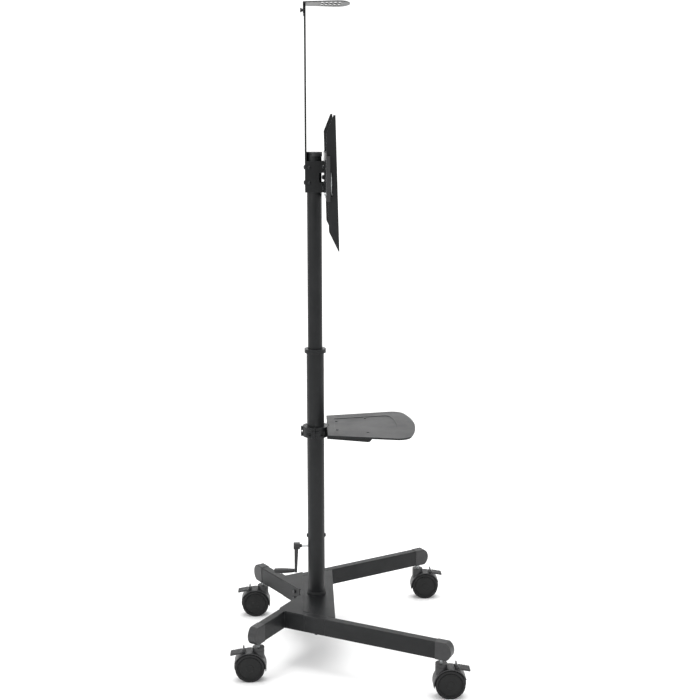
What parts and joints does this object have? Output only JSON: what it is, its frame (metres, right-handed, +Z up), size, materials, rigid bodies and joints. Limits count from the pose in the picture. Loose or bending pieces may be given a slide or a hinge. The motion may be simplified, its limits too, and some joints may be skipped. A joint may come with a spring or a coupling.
{
  "type": "tv cart",
  "caption": "Mobile screen cart: splayed legs on braked swivel casters, crank-lifted telescopic column, clamp-on shelf, hook-on screen arms and a camera tray",
  "frame": {"origin": "on the floor under the axis of the column", "axes": "+X forward, out of the screen; +Y to the cart's left; +Z up along the column"},
  "size_m": [0.7914, 0.9052, 2.234],
  "materials": {
    "frame_coat": "satin black powder coat",
    "bright_steel": "zinc-plated steel",
    "black_steel": "black oxide",
    "cast_housing": "as cast",
    "gear_brass": "machined",
    "bush_plastic": "moulded bearing plastic",
    "black_plastic": "moulded, fine grain",
    "wheel_plastic": "moulded, smooth disc"
  },
  "bodies": {
    "base": {"base_frame": "frame_coat", "rear_gusset": "frame_coat", "leg_spigots": "bright_steel", "front_leg_left": "frame_coat", "front_leg_right": "frame_coat", "rear_leg_left": "frame_coat", "rear_leg_right": "frame_coat", "leg_caps": "black_plastic", "base_bolts": "bright_steel", "caster_stems": "bright_steel", "column_foot": "frame_coat", "column_bolt": "bright_steel", "column_tube": "frame_coat", "collar": "frame_coat", "guide_bush": "bush_plastic", "gear_housing": "cast_housing", "gear_bolts": "black_steel", "thrust_washer": "gear_brass"},
    "mast": {"mast_tube": "frame_coat", "mast_cap": "black_plastic", "lift_nut": "gear_brass", "slide_ring": "bush_plastic", "head_saddle": "frame_coat", "head_screws": "bright_steel", "head_rail": "frame_coat", "rail_caps": "black_plastic", "rail_bolts": "bright_steel", "camera_strap": "frame_coat", "camera_tray": "frame_coat"},
    "knob": {"tray_knob": "black_plastic"},
    "screw": {"lead_screw": "bright_steel", "screw_gear": "gear_brass"},
    "crank": {"crank_shaft": "bright_steel", "crank_gear": "gear_brass", "crank_arm": "black_plastic", "grip_pin": "bright_steel"},
    "grip": {"crank_grip": "black_plastic"},
    "arm_l": {"arm_left": "frame_coat", "arm_lock_left": "bright_steel"},
    "arm_r": {"arm_right": "frame_coat", "arm_lock_right": "bright_steel"},
    "shelf": {"clamp_front": "frame_coat", "clamp_rear": "frame_coat", "clamp_bolts": "bright_steel", "shelf_tray": "frame_coat", "shelf_screws": "bright_steel"},
    "fork_front_left": {"hood_front_left": "black_plastic"},
    "wheels_front_left": {"wheels_front_left": "wheel_plastic"},
    "brake_front_left": {"pedal_front_left": "black_plastic"},
    "fork_front_right": {"hood_front_right": "black_plastic"},
    "wheels_front_right": {"wheels_front_right": "wheel_plastic"},
    "brake_front_right": {"pedal_front_right": "black_plastic"},
    "fork_rear_left": {"hood_rear_left": "black_plastic"},
    "wheels_rear_left": {"wheels_rear_left": "wheel_plastic"},
    "brake_rear_left": {"pedal_rear_left": "black_plastic"},
    "fork_rear_right": {"hood_rear_right": "black_plastic"},
    "wheels_rear_right": {"wheels_rear_right": "wheel_plastic"},
    "brake_rear_right": {"pedal_rear_right": "black_plastic"}
  },
  "joints": [
    {"name": "lift", "type": "slide", "parent": "base", "child": "mast", "axis": [0, 0, 1], "range_m": [-0.4, 0.05]},
    {"name": "screw_turn", "type": "hinge", "parent": "base", "child": "screw", "pos_m": [0, 0, 0.5], "axis": [0, 0, 1], "continuous": true},
    {"name": "crank_turn", "type": "hinge", "parent": "base", "child": "crank", "pos_m": [0, 0, 0.374], "axis": [1, 0, 0], "continuous": true},
    {"name": "grip_spin", "type": "hinge", "parent": "crank", "child": "grip", "pos_m": [-0.11, 0, 0.281], "axis": [1, 0, 0], "continuous": true},
    {"name": "shelf_slide", "type": "slide", "parent": "base", "child": "shelf", "axis": [0, 0, 1], "range_m": [-0.25, 0.25]},
    {"name": "arm_left_slide", "type": "slide", "parent": "mast", "child": "arm_l", "axis": [0, 1, 0], "range_m": [-0.1, 0.015]},
    {"name": "arm_right_slide", "type": "slide", "parent": "mast", "child": "arm_r", "axis": [0, 1, 0], "range_m": [-0.015, 0.1]},
    {"name": "knob_turn", "type": "hinge", "parent": "mast", "child": "knob", "pos_m": [-0.034, 0, 2.212], "axis": [1, 0, 0], "range_deg": [-720, 0]},
    {"name": "swivel_front_left", "type": "hinge", "parent": "base", "child": "fork_front_left", "pos_m": [0.402, 0.42, 0.11], "axis": [0, 0, 1], "continuous": true},
    {"name": "roll_front_left", "type": "hinge", "parent": "fork_front_left", "child": "wheels_front_left", "pos_m": [0.431, 0.42, 0.05], "axis": [0, 1, 0], "continuous": true},
    {"name": "brake_front_left", "type": "hinge", "parent": "fork_front_left", "child": "brake_front_left", "pos_m": [0.452, 0.42, 0.105], "axis": [0, 1, 0], "range_deg": [0, 8]},
    {"name": "swivel_front_right", "type": "hinge", "parent": "base", "child": "fork_front_right", "pos_m": [0.402, -0.42, 0.11], "axis": [0, 0, 1], "continuous": true},
    {"name": "roll_front_right", "type": "hinge", "parent": "fork_front_right", "child": "wheels_front_right", "pos_m": [0.431, -0.42, 0.05], "axis": [0, 1, 0], "continuous": true},
    {"name": "brake_front_right", "type": "hinge", "parent": "fork_front_right", "child": "brake_front_right", "pos_m": [0.452, -0.42, 0.105], "axis": [0, 1, 0], "range_deg": [0, 8]},
    {"name": "swivel_rear_left", "type": "hinge", "parent": "base", "child": "fork_rear_left", "pos_m": [-0.2, 0.273, 0.11], "axis": [0, 0, 1], "continuous": true},
    {"name": "roll_rear_left", "type": "hinge", "parent": "fork_rear_left", "child": "wheels_rear_left", "pos_m": [-0.229, 0.273, 0.05], "axis": [0, 1, 0], "continuous": true},
    {"name": "brake_rear_left", "type": "hinge", "parent": "fork_rear_left", "child": "brake_rear_left", "pos_m": [-0.25, 0.273, 0.105], "axis": [0, -1, 0], "range_deg": [0, 8]},
    {"name": "swivel_rear_right", "type": "hinge", "parent": "base", "child": "fork_rear_right", "pos_m": [-0.2, -0.273, 0.11], "axis": [0, 0, 1], "continuous": true},
    {"name": "roll_rear_right", "type": "hinge", "parent": "fork_rear_right", "child": "wheels_rear_right", "pos_m": [-0.229, -0.273, 0.05], "axis": [0, 1, 0], "continuous": true},
    {"name": "brake_rear_right", "type": "hinge", "parent": "fork_rear_right", "child": "brake_rear_right", "pos_m": [-0.25, -0.273, 0.105], "axis": [0, -1, 0], "range_deg": [0, 8]}
  ],
  "couplings": [
    {"joint": "screw_turn", "follows": "lift", "rad_per_m": -785.4},
    {"joint": "crank_turn", "follows": "lift", "rad_per_m": -785.4}
  ]
}
